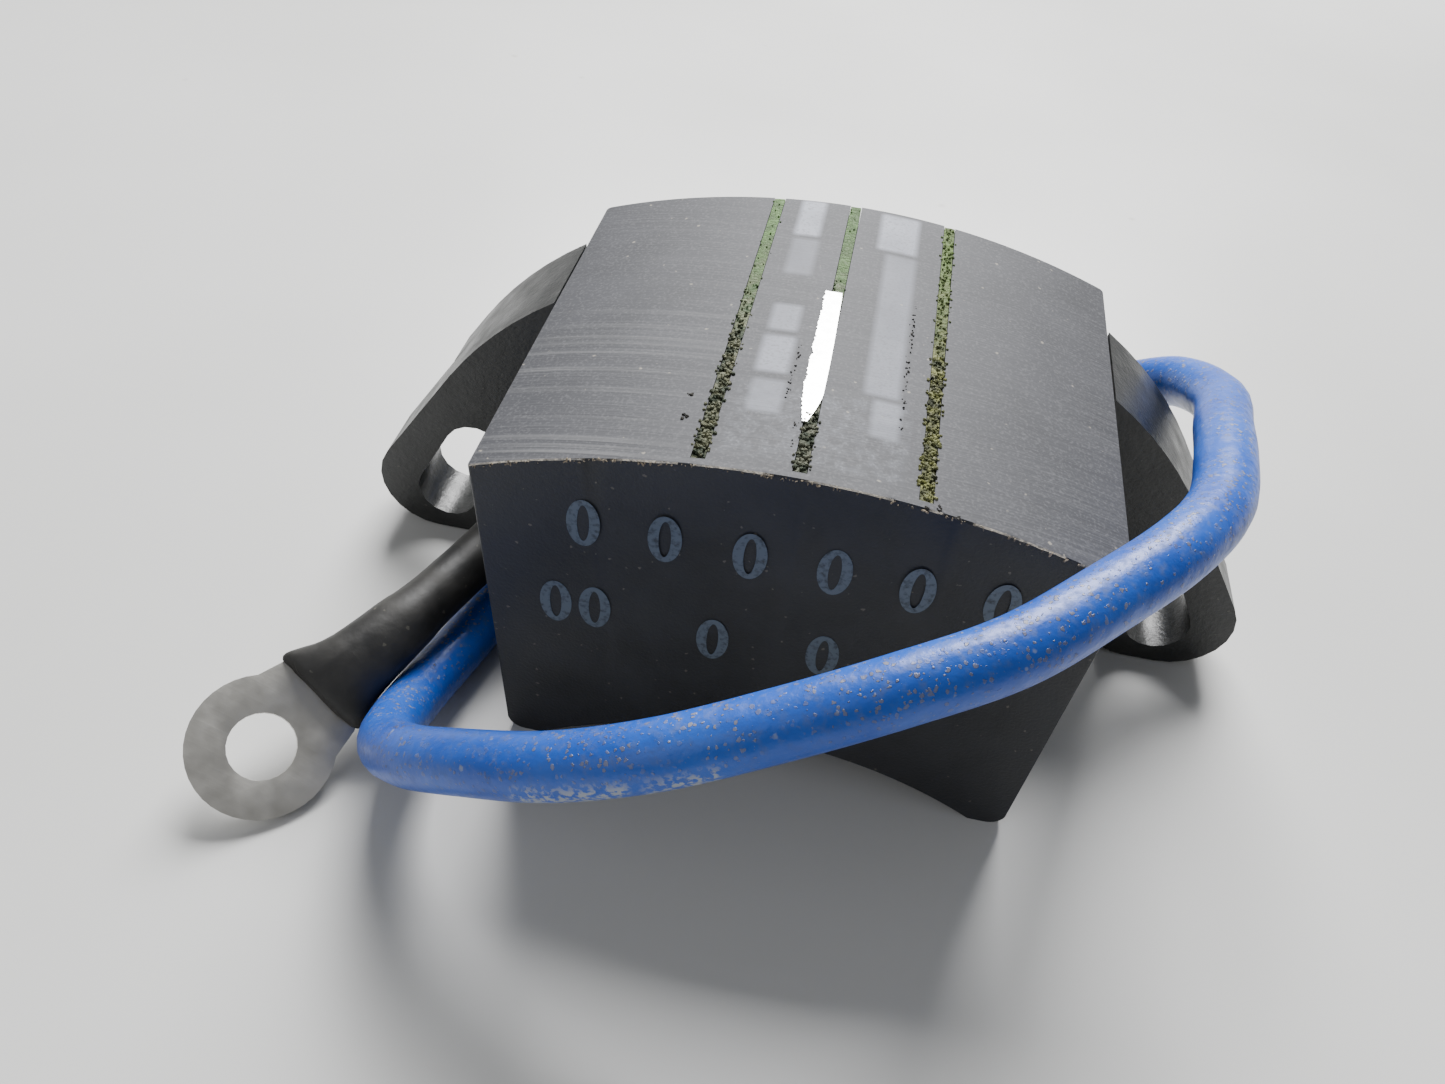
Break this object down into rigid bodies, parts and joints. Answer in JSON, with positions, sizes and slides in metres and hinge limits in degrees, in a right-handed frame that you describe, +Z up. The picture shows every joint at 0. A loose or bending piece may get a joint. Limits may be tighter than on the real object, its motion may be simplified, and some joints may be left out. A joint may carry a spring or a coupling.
{
  "type": "ignition coil",
  "caption": "Small engine ignition coil: moulded block with a ground curved top, laminated core with slotted ears, and a flexible lead with a ring terminal.",
  "frame": {"origin": "on the surface that the block stands on, under the middle of the block", "axes": "+X from ear to ear, +Y from the front face to the back face, +Z up towards the ground curved top"},
  "size_m": [0.0925, 0.0733, 0.0369],
  "materials": {
    "case": "moulded charcoal black, ground to mid grey on top",
    "resin": "cast black resin",
    "core_black": "satin black dip",
    "rivet_steel": "plain",
    "bobbin_plastic": "natural",
    "copper": "enamelled copper",
    "insulation_paper": "varnished",
    "strip_brass": "green tarnish, ground flush",
    "brass": "plain",
    "grommet_rubber": "matt",
    "lead_blue": "satin, lightly soiled",
    "sleeve": "satin black",
    "tinned_copper": "dull tin"
  },
  "bodies": {
    "root": {"moulded_case": "case", "potting_resin": "resin", "core_rivet_left": "rivet_steel", "core_rivet_right": "rivet_steel", "bobbin": "bobbin_plastic", "primary_winding": "copper", "interlayer_insulation": "insulation_paper", "secondary_winding": "copper", "outer_insulation": "insulation_paper", "inlay_strip_left": "strip_brass", "inlay_strip_middle": "strip_brass", "inlay_strip_right": "strip_brass", "earth_tag": "brass", "earth_wire": "copper", "output_tag": "brass", "output_wire": "copper", "lead_grommet": "grommet_rubber", "lead": "lead_blue", "lead_conductor": "copper", "heat_shrink_sleeve": "sleeve", "ring_terminal": "tinned_copper", "core_plate_long_01": "core_black", "core_plate_long_02": "core_black", "core_plate_long_03": "core_black", "core_plate_long_04": "core_black", "core_plate_long_05": "core_black", "core_plate_long_06": "core_black", "core_plate_long_07": "core_black", "core_plate_short_01": "core_black", "core_plate_short_02": "core_black", "core_plate_short_03": "core_black", "core_plate_short_04": "core_black", "core_plate_short_05": "core_black"}
  },
  "joints": []
}
